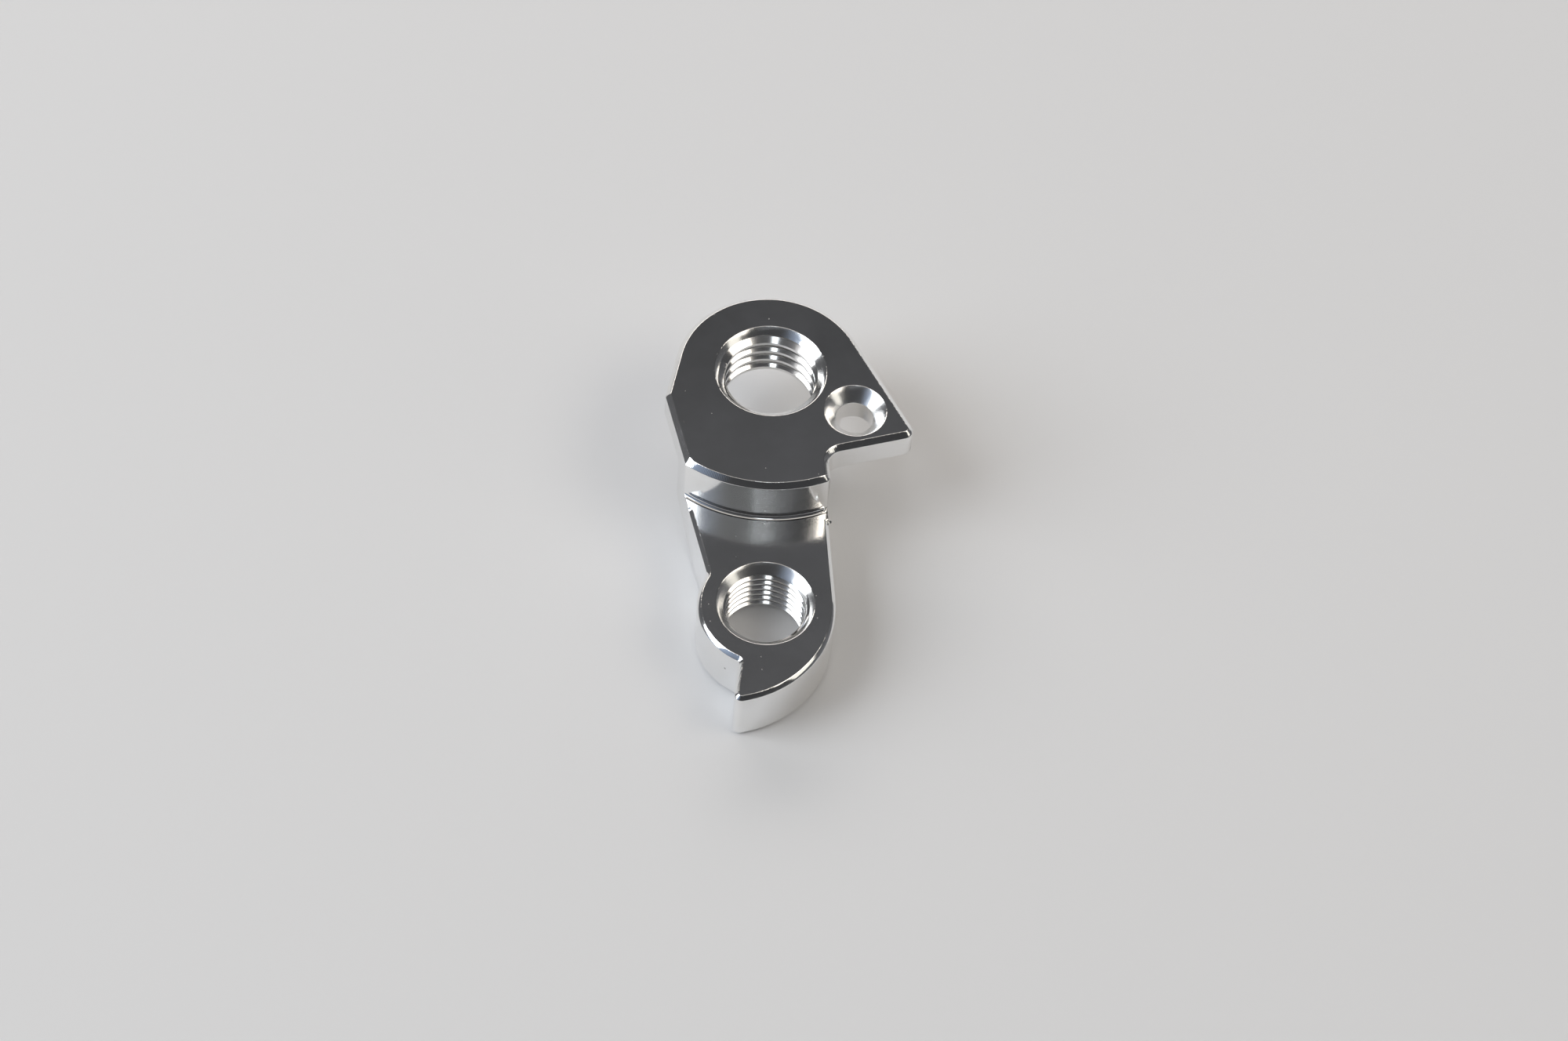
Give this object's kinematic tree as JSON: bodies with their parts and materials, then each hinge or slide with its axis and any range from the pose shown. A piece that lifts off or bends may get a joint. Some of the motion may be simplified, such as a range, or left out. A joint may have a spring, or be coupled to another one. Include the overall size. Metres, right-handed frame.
{
  "type": "derailleur hanger",
  "caption": "Machined bicycle derailleur hanger: an axle plate with a threaded axle hole and a countersunk screw wing, stepped down to a tab with the derailleur bolt's thread and a hooked stop.",
  "frame": {"origin": "on the axle axis, in the plane of the seat that bears on the bicycle frame", "axes": "+Z along the axle axis towards the outer face, -Y from the axle towards the derailleur bolt, +X towards the screw wing"},
  "size_m": [0.0283, 0.052, 0.0134],
  "materials": {
    "aluminium": "bright machined"
  },
  "bodies": {
    "root": {"hanger": "aluminium"}
  },
  "joints": []
}
